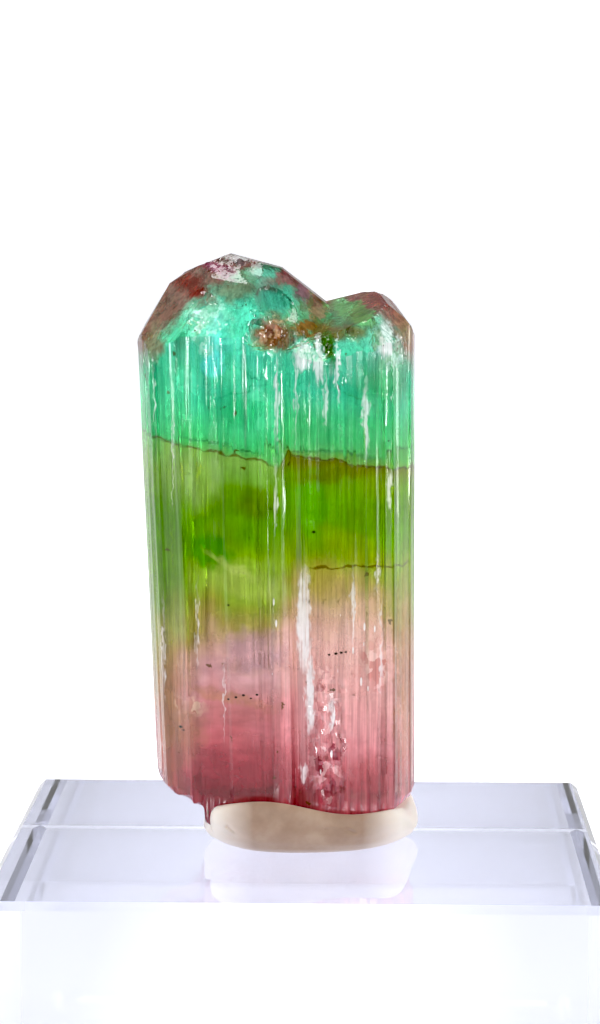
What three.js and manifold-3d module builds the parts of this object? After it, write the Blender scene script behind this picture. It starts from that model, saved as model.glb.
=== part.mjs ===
// Watermelon tourmaline: two crystals grown side by side as one piece, with its broken foot
// pressed into a lump of putty on a clear block. Millimetres, +Z up, front toward -Y.
// The origin is the centre of the block's underside.
import * as THREE from "three";
import { mergeVertices } from "three/addons/utils/BufferGeometryUtils.js";
import Module from "manifold-3d";

const wasm = await Module();
wasm.setup();

// Clear block
const BLOCK_SIDE = 40;
const BLOCK_HEIGHT = 20;
const BLOCK_CHAMFER = 0.5;

// Crystal: the foot, the shoulder where the end faces start, and the growth axis between them
const FOOT_Z = 21.75;
const SHOULDER_Z = 54;
const TOP_Z = 62; // the uncut prisms reach above both ends
const AXIS_AT_FOOT = new THREE.Vector2(-1.15, 0.2);
const LEAN_TO_LEFT = 0.85; // sideways travel of the axis from foot to shoulder
const FLARE = 1.07; // width at the shoulder over width at the foot

// Prism outlines seen from above, about the growth axis, at the foot
const LEFT_PRISM = [
  [-8.62, -0.6],
  [-7.8, -4.1],
  [-5.95, -5.3],
  [-0.6, -5.8],
  [0.55, -5.15],
  [3.4, -3],
  [4.3, 0.5],
  [3, 4.3],
  [-1, 5.7],
  [-5.2, 5.3],
  [-8, 2.6],
];
const RIGHT_PRISM = [
  [0.85, -5],
  [1.6, -5.5],
  [3, -5.75],
  [6.8, -5.5],
  [7.35, -5.1],
  [8.4, -2.6],
  [8.68, -0.3],
  [8.2, 2.6],
  [6.3, 4.7],
  [3.2, 5],
  [1.5, 4],
  [-0.8, 2],
  [-1.2, -2.5],
];

// Growth steps along the prism faces
const STEP_WIDTH = 0.62;
const STEP_HEIGHT = 0.12;
const STEP_FLANK = 0.07; // width of the slope between two steps
const STEP_SHIFT = 0.3; // share of its width by which a step's start and end may move
const LEFT_SEED = 3;
const RIGHT_SEED = 40;

// End faces: the way each looks seen from above (0 is +X, -90 is the front), its slope, a point on it
const LEFT_END = [
  { facing: 184, slope: 76, through: [-11.15, -0.4, 54] },
  { facing: 184, slope: 60, through: [-9.9, -0.4, 56.2] },
  { facing: 188, slope: 34, through: [-8.3, -0.4, 58.15] },
  { facing: 176, slope: 22, through: [-6.4, -0.4, 59.1] },
  { facing: 0, slope: 15.5, through: [-4.8, -0.4, 59.58] },
  { facing: 0, slope: 38, through: [-0.9, -0.4, 58.15] },
  { facing: -88, slope: 33, through: [-5, -1.2, 59.5] },
  { facing: -97, slope: 58, through: [-4.5, -5.7, 54.7] },
  { facing: -140, slope: 52, through: [-9.4, -4.2, 54.2] },
  { facing: -46, slope: 50, through: [-0.9, -5.2, 54.2] },
  { facing: 92, slope: 36, through: [-5, 1, 59.4] },
  { facing: 146, slope: 50, through: [-9.2, 3.6, 55] },
  { facing: 64, slope: 48, through: [-2, 5.2, 55.6] },
];
const RIGHT_END = [
  { facing: -140, slope: 24, through: [1.65, 1, 56.22] },
  { facing: 180, slope: 4, through: [4.1, 1, 57.06] },
  { facing: 0, slope: 22, through: [4.6, 1, 57.12] },
  { facing: -4, slope: 40, through: [5.3, 1, 56.8] },
  { facing: 0, slope: 50, through: [6, 1, 56.2] },
  { facing: 4, slope: 60, through: [6.8, 0, 55.2] },
  { facing: -94, slope: 60, through: [2.6, -5.6, 53.6] },
  { facing: -42, slope: 52, through: [6.1, -4.7, 54.1] },
  { facing: 96, slope: 34, through: [4, 1.4, 57] },
  { facing: 44, slope: 52, through: [6.9, 3.8, 54.6] },
];

// The broken foot, as faces that look down
const FOOT_BREAKS = [
  { facing: 190, slope: 70, through: [-9.78, -1, 24.6] },
  { facing: 200, slope: 46, through: [-9.3, -2, 23.85] },
  { facing: 0, slope: 54, through: [7.6, -0.5, 23.6] },
  { facing: -14, slope: 34, through: [6.9, -0.5, 22.8] },
  { facing: -90, slope: 62, through: [-1, -5.45, 22.6] },
  { facing: 88, slope: 36, through: [-2, 5.6, 23.2] },
];

// Bites out of the foot's left end: all that lies under one face and beyond another
const FOOT_BITES = [
  {
    under: { facing: 165, slope: 15, through: [-7.5, -4, 23.45] },
    beyond: { facing: 184, slope: 84, through: [-6.7, -2, 22.6] },
  },
  {
    under: { facing: 160, slope: 26, through: [-8.6, 3, 23.3] },
    beyond: { facing: 150, slope: 74, through: [-6.6, 3, 22.6] },
  },
];

// Shell-shaped scoops, hollowed by a ball that sinks into the face by a depth
const SCOOPS = [
  { at: [-2.85, -2.6, 58.55], facing: -76, slope: 32, radius: 4.4, depth: 0.42 },
  { at: [-1.5, -3.3, 56.4], facing: -56, slope: 52, radius: 3.8, depth: 0.42 },
  { at: [-7.6, -3.6, 57], facing: -128, slope: 52, radius: 4.4, depth: 0.4 },
  { at: [5.9, -3.9, 55.5], facing: -50, slope: 52, radius: 2.6, depth: 0.35 },
  { at: [-7.4, 3.7, 57.1], facing: 128, slope: 50, radius: 4, depth: 0.5 },
  { at: [-1.4, 3.6, 57.4], facing: 74, slope: 44, radius: 3.2, depth: 0.5 },
  { at: [4.6, 3.6, 55.6], facing: 80, slope: 40, radius: 3, depth: 0.45 },
];
const SCOOP_DETAIL = 6;
const HOLLOW_TURN = 1.7; // each ball is turned this much from the one before

// Etched pits and broken bits along the upper edge, each hollowed by a stone with 20 faces
const PITS = [
  { at: [-2.5, -5.6, 54.5], facing: -90, slope: 74, radius: 1.6, depth: 0.8 },
  { at: [-1.3, -5.3, 54.7], facing: -70, slope: 70, radius: 1.4, depth: 0.65 },
  { at: [-0.4, -4.8, 55.3], facing: -90, slope: 60, radius: 1.1, depth: 0.55 },
  { at: [0.5, -5.3, 54.4], facing: -90, slope: 70, radius: 0.9, depth: 0.45 },
  { at: [1.4, -5.6, 53.7], facing: -90, slope: 84, radius: 1, depth: 0.4 },
  { at: [3.1, -5.1, 54.6], facing: -95, slope: 60, radius: 0.9, depth: 0.35 },
  { at: [4.4, -5.2, 54.9], facing: -80, slope: 62, radius: 0.8, depth: 0.3 },
  { at: [6.5, -4.2, 54], facing: -40, slope: 60, radius: 0.9, depth: 0.35 },
  { at: [-5.6, -1.7, 59.2], facing: -100, slope: 30, radius: 0.9, depth: 0.22 },
  { at: [-4.4, -1.8, 59], facing: -80, slope: 30, radius: 0.8, depth: 0.22 },
  { at: [2.6, 5.1, 54.4], facing: 90, slope: 70, radius: 1.2, depth: 0.5 },
  { at: [-8.3, -3.9, 26.4], facing: -120, slope: 90, radius: 1.2, depth: 0.16 },
];

// Chips that climb from the foot beside the front groove
const CHIP_COUNT = 11;
const CHIP_RADIUS = 1.5;
const CHIP_DEPTH = 0.3;
const CHIPS_BOTTOM = [1.75, 24.3];
const CHIPS_TOP = [0.95, 31.6];
const CHIP_SWAY = 0.5;

// Putty: a pressed lump, wider than deep, whose lip stands up round the foot
const PUTTY_CENTRE = [0.4, 0];
const PUTTY_HALF_WIDTH = 7.05;
const PUTTY_HALF_DEPTH = 6.45;
const PUTTY_FORWARD = 0.4; // the lip leans this far toward the front
const PUTTY_LIP = 3.3; // height of the lip above the block
const LIP_WAVE = 0.14; // share by which the lip rises and dips along its length
const LIP_CREST_X = -2.8;
const LIP_DIP_X = 3.1;
const LIP_END_DROP = 0.38; // share by which the lip is lower at the two ends
const PUTTY_PROFILE = [
  [0, 0],
  [0.82, 0],
  [0.9, 0.08],
  [0.97, 0.25],
  [1, 0.48],
  [0.995, 0.7],
  [0.97, 0.88],
  [0.93, 1],
  [0.87, 0.97],
  [0.6, 0.85],
  [0, 0.82],
];
const PUTTY_SEGMENTS = 72;
const SQUARENESS = [2, 4]; // of the outline, on the block and at the lip: 2 is an ellipse
const PUTTY_LUMP = 0.035; // share of the radius by which the outline wanders
const PUTTY_CLEARANCE = 0.3;

// Half the size of the boxes that cut faces
const CUTTER = 40;

function solidOf(geometry) {
  const bare = geometry.clone();
  bare.deleteAttribute("normal");
  bare.deleteAttribute("uv");
  const merged = mergeVertices(bare, 1e-4);
  return new wasm.Manifold(
    new wasm.Mesh({
      numProp: 3,
      vertProperties: new Float32Array(merged.attributes.position.array),
      triVerts: new Uint32Array(merged.index.array),
    }),
  );
}

function geometryOf(solid) {
  const mesh = solid.getMesh();
  const geometry = new THREE.BufferGeometry();
  geometry.setAttribute("position", new THREE.BufferAttribute(mesh.vertProperties, 3));
  geometry.setIndex(new THREE.BufferAttribute(mesh.triVerts, 1));
  geometry.computeVertexNormals();
  return geometry;
}

function piece(name, geometry, look) {
  const mesh = new THREE.Mesh(geometry, new THREE.MeshStandardMaterial(look));
  mesh.name = name;
  return mesh;
}

// A number from 0 to 1 that scatters with its input and is the same on every run
function scatter(index) {
  const wave = Math.sin(index * 12.9898 + 4.1414) * 43758.5453;
  return wave - Math.floor(wave);
}

// The outline with growth steps: flat bands of uneven width along each side, stepped in and out
function steppedOutline(corners, seed) {
  const shape = new THREE.Shape();
  let band = seed;
  corners.forEach((corner, index) => {
    const start = new THREE.Vector2(...corner);
    const end = new THREE.Vector2(...corners[(index + 1) % corners.length]);
    const along = end.clone().sub(start);
    const outward = new THREE.Vector2(along.y, -along.x).normalize();
    const bands = Math.max(1, Math.round(along.length() / STEP_WIDTH));
    if (index === 0) shape.moveTo(start.x, start.y);
    else shape.lineTo(start.x, start.y);
    const flank = STEP_FLANK / along.length();
    for (let i = 0; i < bands; i += 1) {
      const from = (i + STEP_SHIFT * scatter(band) * Math.sign(i)) / bands;
      const to = (i + 1 + STEP_SHIFT * scatter(band + 1) * Math.sign(bands - 1 - i)) / bands;
      const height = STEP_HEIGHT * (2 * scatter(band + 0.5) - 1);
      for (const share of [from + flank, to - flank]) {
        const point = start.clone().addScaledVector(along, share).addScaledVector(outward, height);
        shape.lineTo(point.x, point.y);
      }
      band += 1;
    }
  });
  shape.closePath();
  return shape;
}

// A prism on the foot plane, leaning and widening as it rises
function prism(corners, seed) {
  const geometry = new THREE.ExtrudeGeometry(steppedOutline(corners, seed), {
    depth: TOP_Z - FOOT_Z,
    bevelEnabled: false,
  });
  const position = geometry.attributes.position;
  for (let i = 0; i < position.count; i += 1) {
    const rise = position.getZ(i) / (SHOULDER_Z - FOOT_Z);
    const widen = 1 + (FLARE - 1) * rise;
    position.setXYZ(
      i,
      AXIS_AT_FOOT.x - LEAN_TO_LEFT * rise + position.getX(i) * widen,
      AXIS_AT_FOOT.y + position.getY(i) * widen,
      FOOT_Z + position.getZ(i),
    );
  }
  return solidOf(geometry);
}

// The way a face looks: up is 1 for a face that looks up and -1 for one that looks down
function outwardOf(facing, slope, up) {
  const turn = THREE.MathUtils.degToRad(facing);
  const tilt = THREE.MathUtils.degToRad(slope);
  return new THREE.Vector3(
    Math.sin(tilt) * Math.cos(turn),
    Math.sin(tilt) * Math.sin(turn),
    up * Math.cos(tilt),
  );
}

// The half-space beyond a face, as a box whose near side is the face
function beyondFace({ facing, slope, through }, up) {
  const outward = outwardOf(facing, slope, up);
  const box = new THREE.BoxGeometry(2 * CUTTER, 2 * CUTTER, 2 * CUTTER);
  box.translate(0, 0, CUTTER);
  box.applyQuaternion(new THREE.Quaternion().setFromUnitVectors(new THREE.Vector3(0, 0, 1), outward));
  box.translate(...through);
  return solidOf(box);
}

function cutFaces(solid, faces, up) {
  return faces.reduce((rest, face) => rest.subtract(beyondFace(face, up)), solid);
}

// A hollow that sinks into a face by its depth, cut by a ball of flat triangles
function cutHollows(solid, hollows, detail) {
  return hollows.reduce((rest, { at, facing, slope, radius, depth }, index) => {
    const ball = new THREE.IcosahedronGeometry(radius, detail);
    ball.rotateX(index + 0.4);
    ball.rotateZ(HOLLOW_TURN * index);
    const centre = new THREE.Vector3(...at).addScaledVector(outwardOf(facing, slope, 1), radius - depth);
    ball.translate(centre.x, centre.y, centre.z);
    return rest.subtract(solidOf(ball));
  }, solid);
}

// Shallow chips in the front face, one above the other beside the groove
function chips() {
  const front = AXIS_AT_FOOT.y + RIGHT_PRISM[2][1];
  return Array.from({ length: CHIP_COUNT }, (_, index) => {
    const share = index / (CHIP_COUNT - 1);
    const sway = CHIP_SWAY * (2 * scatter(index + 7) - 1);
    const x = THREE.MathUtils.lerp(CHIPS_BOTTOM[0], CHIPS_TOP[0], share) + sway;
    const z = THREE.MathUtils.lerp(CHIPS_BOTTOM[1], CHIPS_TOP[1], share);
    return { at: [x, front, z], facing: -90, slope: 90, radius: CHIP_RADIUS, depth: CHIP_DEPTH };
  });
}

// The foot's breaks and bites, all moved outward by a clearance
function breakFoot(solid, clearance) {
  const moved = (face) => {
    const way = outwardOf(face.facing, face.slope, -1);
    const point = new THREE.Vector3(...face.through).addScaledVector(way, clearance);
    return { ...face, through: point.toArray() };
  };
  return FOOT_BITES.reduce((rest, { under, beyond }) => {
    const bite = beyondFace(moved(under), -1).intersect(beyondFace(moved(beyond), -1));
    return rest.subtract(bite);
  }, cutFaces(solid, FOOT_BREAKS.map(moved), -1));
}

function buildCrystal() {
  const left = cutFaces(prism(LEFT_PRISM, LEFT_SEED), LEFT_END, 1);
  const right = cutFaces(prism(RIGHT_PRISM, RIGHT_SEED), RIGHT_END, 1);
  const grown = breakFoot(left.add(right), 0);
  return cutHollows(cutHollows(grown, SCOOPS, SCOOP_DETAIL), [...PITS, ...chips()], 0);
}

// The room that the putty leaves for the foot: the crystal's foot, larger all round by the clearance
function footRoom() {
  const widen = (corners) =>
    corners.map(([x, y]) => {
      const length = Math.hypot(x, y);
      const share = (length + PUTTY_CLEARANCE + STEP_HEIGHT) / length;
      return [x * share, y * share];
    });
  const room = prism(widen(LEFT_PRISM), LEFT_SEED).add(prism(widen(RIGHT_PRISM), RIGHT_SEED));
  return breakFoot(room, PUTTY_CLEARANCE);
}

function buildPutty() {
  const profile = PUTTY_PROFILE.map(([radius, height]) => new THREE.Vector2(radius, height * PUTTY_LIP));
  const lump = new THREE.LatheGeometry(profile, PUTTY_SEGMENTS);
  lump.rotateX(Math.PI / 2);
  const position = lump.attributes.position;
  for (let i = 0; i < position.count; i += 1) {
    const [x, y, z] = [position.getX(i), position.getY(i), position.getZ(i)];
    const turn = Math.atan2(y, x);
    const wander = Math.sin(2 * turn + 0.6) + 0.6 * Math.sin(3 * turn + 2) + 0.5 * Math.sin(5 * turn);
    const height = z / PUTTY_LIP;
    const power = THREE.MathUtils.lerp(...SQUARENESS, height);
    const round = Math.abs(Math.cos(turn)) ** power + Math.abs(Math.sin(turn)) ** power;
    const reach = (1 + PUTTY_LUMP * wander) / round ** (1 / power);
    const across = PUTTY_CENTRE[0] + PUTTY_HALF_WIDTH * reach * x;
    const swing = Math.cos((Math.PI * (across - LIP_CREST_X)) / (LIP_DIP_X - LIP_CREST_X));
    const tall = 1 + LIP_WAVE * swing - LIP_END_DROP * Math.abs(x) ** 6;
    position.setXYZ(
      i,
      across,
      PUTTY_CENTRE[1] + PUTTY_HALF_DEPTH * reach * y - PUTTY_FORWARD * height,
      BLOCK_HEIGHT + z * tall,
    );
  }
  return solidOf(lump).subtract(footRoom());
}

function blockGeometry() {
  const half = BLOCK_SIDE / 2 - BLOCK_CHAMFER;
  const square = new THREE.Shape();
  square.moveTo(-half, -half);
  square.lineTo(half, -half);
  square.lineTo(half, half);
  square.lineTo(-half, half);
  square.closePath();
  const geometry = new THREE.ExtrudeGeometry(square, {
    depth: BLOCK_HEIGHT - 2 * BLOCK_CHAMFER,
    bevelThickness: BLOCK_CHAMFER,
    bevelSize: BLOCK_CHAMFER,
    bevelSegments: 1,
  });
  geometry.translate(0, 0, BLOCK_CHAMFER);
  return geometry;
}

const specimen = new THREE.Group();
specimen.add(
  piece("clear_block", blockGeometry(), {
    color: 0xf4f6fb,
    roughness: 0.03,
    metalness: 0,
    transparent: true,
    opacity: 0.35,
  }),
  piece("mounting_putty", geometryOf(buildPutty()), { color: 0xd0b89c, roughness: 0.7, metalness: 0 }),
  piece("tourmaline", geometryOf(buildCrystal()), { color: 0x86b26e, roughness: 0.12, metalness: 0 }),
);

export default specimen;
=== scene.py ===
"""A watermelon tourmaline crystal, green above rose pink, stood by a lump of putty on a clear block."""
import math

import bpy
import numpy as np
from mathutils import Matrix, Vector


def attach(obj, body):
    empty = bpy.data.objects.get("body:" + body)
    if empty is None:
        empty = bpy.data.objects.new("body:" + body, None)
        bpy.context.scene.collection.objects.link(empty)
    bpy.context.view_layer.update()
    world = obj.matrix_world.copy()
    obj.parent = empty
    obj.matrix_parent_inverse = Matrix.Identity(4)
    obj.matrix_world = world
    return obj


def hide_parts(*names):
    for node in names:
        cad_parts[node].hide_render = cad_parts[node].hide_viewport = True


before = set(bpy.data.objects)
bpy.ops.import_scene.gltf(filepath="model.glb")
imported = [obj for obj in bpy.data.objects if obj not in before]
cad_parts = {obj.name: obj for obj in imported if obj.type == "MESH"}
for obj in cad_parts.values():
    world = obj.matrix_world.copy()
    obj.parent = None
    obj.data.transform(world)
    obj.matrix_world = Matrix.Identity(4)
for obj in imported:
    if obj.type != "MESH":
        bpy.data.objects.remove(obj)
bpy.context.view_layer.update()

# The crystal
# Two tourmaline crystals that grew side by side into one piece: striated prisms with etched, domed
# ends and a broken foot. It is solid boron silicate, green where iron came in and pink from manganese.
MM_IN_M = 1000

# Growth axis and prism, in millimetres
FOOT_Z, SHOULDER_Z = 21.75, 54.0
AXIS_AT_FOOT = np.array([-1.15, 0.2])
LEAN_TO_LEFT, FLARE = 0.85, 1.07
LEFT_PRISM = np.array([
    [-8.62, -0.6], [-7.8, -4.1], [-5.95, -5.3], [-0.6, -5.8], [0.55, -5.15], [3.4, -3], [4.3, 0.5],
    [3, 4.3], [-1, 5.7], [-5.2, 5.3], [-8, 2.6],
])
RIGHT_PRISM = np.array([
    [0.85, -5], [1.6, -5.5], [3, -5.75], [6.8, -5.5], [7.35, -5.1], [8.4, -2.6], [8.68, -0.3],
    [8.2, 2.6], [6.3, 4.7], [3.2, 5], [1.5, 4], [-0.8, 2], [-1.2, -2.5],
])
STEP_WIDTH, STEP_HEIGHT, STEP_FLANK, STEP_SHIFT = 0.62, 0.085, 0.1, 0.3
LEFT_SEED, RIGHT_SEED = 3, 40

# End faces: facing seen from above, slope and a point on the face
LEFT_END = [
    (184, 76, (-11.15, -0.4, 54)), (184, 60, (-9.9, -0.4, 56.2)), (188, 34, (-8.3, -0.4, 58.15)),
    (176, 22, (-6.4, -0.4, 59.1)), (0, 15.5, (-4.8, -0.4, 59.58)), (0, 38, (-0.9, -0.4, 58.15)),
    (-88, 33, (-5, -1.2, 59.5)), (-97, 58, (-4.5, -5.7, 54.7)), (-140, 52, (-9.4, -4.2, 54.2)),
    (-46, 50, (-0.9, -5.2, 54.2)), (92, 36, (-5, 1, 59.4)), (146, 50, (-9.2, 3.6, 55)),
    (64, 48, (-2, 5.2, 55.6)),
]
RIGHT_END = [
    (-140, 24, (1.65, 1, 56.22)), (180, 4, (4.1, 1, 57.06)), (0, 22, (4.6, 1, 57.12)),
    (-4, 40, (5.3, 1, 56.8)), (0, 50, (6, 1, 56.2)), (4, 60, (6.8, 0, 55.2)),
    (-94, 60, (2.6, -5.6, 53.6)), (-42, 52, (6.1, -4.7, 54.1)), (96, 34, (4, 1.4, 57)),
    (44, 52, (6.9, 3.8, 54.6)),
]
FOOT_BREAKS = [
    (190, 70, (-9.78, -1, 24.6)), (200, 46, (-9.3, -2, 23.85)), (0, 54, (7.6, -0.5, 23.6)),
    (-14, 34, (6.9, -0.5, 22.8)), (-90, 62, (-1, -5.45, 22.6)), (88, 36, (-2, 5.6, 23.2)),
]
FOOT_BITES = [
    [(165, 15, (-7.5, -4, 23.45)), (184, 84, (-6.7, -2, 22.6))],
    [(160, 26, (-8.6, 3, 23.3)), (150, 74, (-6.6, 3, 22.6))],
]

# Hollows: a point on the face, its facing and slope, the ball's radius and how deep it sinks
SCOOPS = [
    ((-2.85, -2.6, 58.55), -76, 32, 4.4, 0.42), ((-1.5, -3.3, 56.4), -56, 52, 3.8, 0.42),
    ((-7.6, -3.6, 57), -128, 52, 4.4, 0.4), ((5.9, -3.9, 55.5), -50, 52, 2.6, 0.35),
    ((-7.4, 3.7, 57.1), 128, 50, 4, 0.5), ((-1.4, 3.6, 57.4), 74, 44, 3.2, 0.5),
    ((4.6, 3.6, 55.6), 80, 40, 3, 0.45),
]
PITS = [
    ((-2.5, -5.6, 54.5), -90, 74, 1.6, 0.8), ((-1.3, -5.3, 54.7), -70, 70, 1.4, 0.65),
    ((-0.4, -4.8, 55.3), -90, 60, 1.1, 0.55), ((0.5, -5.3, 54.4), -90, 70, 0.9, 0.45),
    ((1.4, -5.6, 53.7), -90, 84, 1, 0.4), ((3.1, -5.1, 54.6), -95, 60, 0.9, 0.35),
    ((4.4, -5.2, 54.9), -80, 62, 0.8, 0.3), ((6.5, -4.2, 54), -40, 60, 0.9, 0.35),
    ((-5.6, -1.7, 59.2), -100, 30, 0.9, 0.22), ((-4.4, -1.8, 59), -80, 30, 0.8, 0.22),
    ((2.6, 5.1, 54.4), 90, 70, 1.2, 0.5),
]
CHIP_COUNT, CHIP_RADIUS, CHIP_DEPTH, CHIP_SWAY = 11, 1.5, 0.3, 0.5
CHIPS_BOTTOM, CHIPS_TOP = np.array([1.75, 24.3]), np.array([0.95, 31.6])


def scatter(index):
    """A number from 0 to 1 that jumps about with its index: the fraction left of a steep sine wave."""
    wave = np.sin(index * 12.9898 + 4.1414) * 43758.5453
    return wave - np.floor(wave)


def outline_sides(corners, seed):
    """The sides of a prism's outline. Each gives its start, direction, outward normal, and the height of
    its growth steps against the distance along it: flat bands of uneven width, set in and out."""
    sides, band = [], seed
    for start, end in zip(corners, np.roll(corners, -1, axis=0)):
        length = math.dist(start, end)
        along = (end - start) / length
        count = max(1, round(length / STEP_WIDTH))
        place = np.arange(count)
        begins = place + STEP_SHIFT * scatter(band + place) * np.sign(place)
        ends = place + 1 + STEP_SHIFT * scatter(band + place + 1) * np.sign(count - 1 - place)
        heights = STEP_HEIGHT * (2 * scatter(band + place + 0.5) - 1)
        flat_from, flat_to = begins / count * length + STEP_FLANK, ends / count * length - STEP_FLANK
        places = np.r_[0, np.stack([flat_from, flat_to], 1).ravel(), length]
        steps = np.r_[0, np.repeat(heights, 2), 0]
        sides.append((start, along, np.array([along[1], -along[0]]), places, steps))
        band += count
    return sides


def outward(facing, slope, up=1):
    """The unit normal of a face from the way it looks seen from above and its slope, in degrees."""
    turn, tilt = np.radians(facing), np.radians(slope)
    return np.stack([np.sin(tilt) * np.cos(turn), np.sin(tilt) * np.sin(turn), up * np.cos(tilt)], -1)


def planes(faces, up=1):
    """Faces as an array of normals and an array of the distances of their planes from the origin."""
    normals = np.array([outward(facing, slope, up) for facing, slope, _ in faces])
    return normals, np.sum(normals * np.array([point for _, _, point in faces]), 1)


def hollows(listed):
    """Hollows as (centre, radius): the centre lies outside the face by the radius less the depth."""
    return [(np.array(at) + outward(facing, slope) * (radius - depth), radius)
            for at, facing, slope, radius, depth in listed]


left_sides, right_sides = outline_sides(LEFT_PRISM, LEFT_SEED), outline_sides(RIGHT_PRISM, RIGHT_SEED)
left_planes, right_planes, foot_planes = planes(LEFT_END), planes(RIGHT_END), planes(FOOT_BREAKS, -1)
bites = [planes(pair, -1) for pair in FOOT_BITES]
step = np.arange(CHIP_COUNT)
chip_places = CHIPS_BOTTOM + (CHIPS_TOP - CHIPS_BOTTOM) * (step / (CHIP_COUNT - 1))[:, None]
chip_places[:, 0] += CHIP_SWAY * (2 * scatter(step + 7) - 1)
chips = [((x, AXIS_AT_FOOT[1] + RIGHT_PRISM[2][1], z), -90, 90, CHIP_RADIUS, CHIP_DEPTH)
         for x, z in chip_places]
stones = hollows(PITS + chips)
balls = hollows(SCOOPS)

# The 20 face normals of a regular stone, and its inner radius over its outer one
GOLD = (1 + 5 ** 0.5) / 2
signs = np.array(np.meshgrid([1, -1], [1, -1], [1, -1])).T.reshape(-1, 3)
STONE_NORMALS = np.unique(np.round(np.concatenate([
    signs * [1, 1, 1], signs * [1 / GOLD, 0, GOLD], signs * [0, GOLD, 1 / GOLD], signs * [GOLD, 1 / GOLD, 0],
]), 9), axis=0) / 3 ** 0.5
STONE_INNER = 0.79465


def stone_normals(index):
    """The stone's normals turned about X by its index plus 0.4 and then about Z by 1.7 times its index."""
    turn = Matrix.Rotation(1.7 * index, 3, "Z") @ Matrix.Rotation(index + 0.4, 3, "X")
    return STONE_NORMALS @ np.array(turn).T


def in_plan(points):
    """Where points lie in the outline's own plan: the axis leans and the prism widens as it rises."""
    rise = (points[..., 2] - FOOT_Z) / (SHOULDER_Z - FOOT_Z)
    widen = 1 + (FLARE - 1) * rise
    return ((points[..., 0] - AXIS_AT_FOOT[0] + LEAN_TO_LEFT * rise) / widen,
            (points[..., 1] - AXIS_AT_FOOT[1]) / widen)


def beyond_prism(sides, u, v):
    """How far a place in the plan is outside a prism: the largest over its sides of the distance out
    from the side less the height of the growth step there."""
    beyond = np.full(u.shape, -99.0)
    for start, along, outside, places, heights in sides:
        du, dv = u - start[0], v - start[1]
        steps = np.interp(du * along[0] + dv * along[1], places, heights)
        beyond = np.maximum(beyond, du * outside[0] + dv * outside[1] - steps)
    return beyond


def beyond_planes(faces, points):
    """How far points are outside the solid that the planes bound: the largest of their distances."""
    return (points @ faces[0].T - faces[1]).max(-1)


def beyond_crystal(points, parts=False):
    """Below 0 inside the crystal and above 0 outside. Each crystal is the larger of its prism and its
    end faces, both together are the smaller of the two, and each cut is the larger of what is left and
    the cut's own depth."""
    u, v = in_plan(points)
    left_prism, left_end = beyond_prism(left_sides, u, v), beyond_planes(left_planes, points)
    right_prism, right_end = beyond_prism(right_sides, u, v), beyond_planes(right_planes, points)
    left, right = np.maximum(left_prism, left_end), np.maximum(right_prism, right_end)
    beyond = np.maximum(np.minimum(left, right), FOOT_Z - points[..., 2])
    beyond = np.maximum(beyond, beyond_planes(foot_planes, points))
    for bite in bites:
        beyond = np.maximum(beyond, (points @ bite[0].T - bite[1]).min(-1))
    for centre, radius in balls:
        beyond = np.maximum(beyond, radius - np.linalg.norm(points - centre, axis=-1))
    for index, (centre, radius) in enumerate(stones):
        near = np.linalg.norm(points - centre, axis=-1) < radius
        depth = STONE_INNER * radius - ((points[near] - centre) @ stone_normals(index).T).max(-1)
        beyond[near] = np.maximum(beyond[near], depth)
    if parts:
        on_end = np.where(left < right, left_end > left_prism, right_end > right_prism)
        return beyond, on_end
    return beyond


def reach(origins, directions, furthest):
    """The distance along each ray from inside to the crystal's surface, found by halving."""
    near, far = np.zeros(directions.shape[:-1]), np.full(directions.shape[:-1], float(furthest))
    for _ in range(20):
        middle = (near + far) / 2
        outside = beyond_crystal(origins + directions * middle[..., None]) > 0
        near, far = np.where(outside, near, middle), np.where(outside, middle, far)
    return (near + far) / 2


# Rays from the growth axis: fanned down to the foot, level along the prism and closest together beside the
# scaly strip, fanned up over the ends
FAN_DOWN_Z, SCALY_TOP_Z, FAN_UP_Z = 26.0, 33.0, 50.0
ROWS_DOWN, ROWS_LEVEL, ROWS_UP, COLUMNS = 24, 24, 101, 560
lifts = np.radians(np.r_[np.linspace(-90, 0, ROWS_DOWN + 1)[:-1], np.zeros(2 * ROWS_LEVEL),
                         np.linspace(0, 90, ROWS_UP + 1)[1:]])
heights = np.r_[np.full(ROWS_DOWN, FAN_DOWN_Z), np.linspace(FAN_DOWN_Z, SCALY_TOP_Z, ROWS_LEVEL),
                np.linspace(SCALY_TOP_Z, FAN_UP_Z, ROWS_LEVEL + 1)[1:], np.full(ROWS_UP, FAN_UP_Z)]


def spread_turns():
    """The turns of the grid's columns in the outline's plan: even steps along the joined outline, which is
    found by halving along 4001 rays, each outline corner taking the place of the step nearest to it, so
    that the edges stay sharp."""
    even = np.linspace(-np.pi, np.pi, 4001)
    ways = np.stack([np.cos(even), np.sin(even)], 1)
    near, far = np.zeros(len(even)), np.full(len(even), 12.0)
    for _ in range(24):
        middle = (near + far) / 2
        u, v = (ways * middle[:, None]).T
        outside = np.minimum(beyond_prism(left_sides, u, v), beyond_prism(right_sides, u, v)) > 0
        near, far = np.where(outside, near, middle), np.where(outside, middle, far)
    rim = ways * near[:, None]
    run = np.r_[0, np.cumsum(np.linalg.norm(np.diff(rim, axis=0), axis=1))]
    turns = np.interp(np.linspace(0, run[-1], COLUMNS, endpoint=False), run, even)
    for sides, others in ((left_sides, right_sides), (right_sides, left_sides)):
        for start, along, outside, places, steps in sides:
            corners = start + along * places[:, None] + outside * steps[:, None]
            shown = corners[beyond_prism(others, corners[:, 0], corners[:, 1]) > 0]
            for turn in np.arctan2(shown[:, 1], shown[:, 0]):
                turns[np.argmin(np.abs(turns - turn))] = turn
    return np.sort(turns), run[-1]


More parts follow.
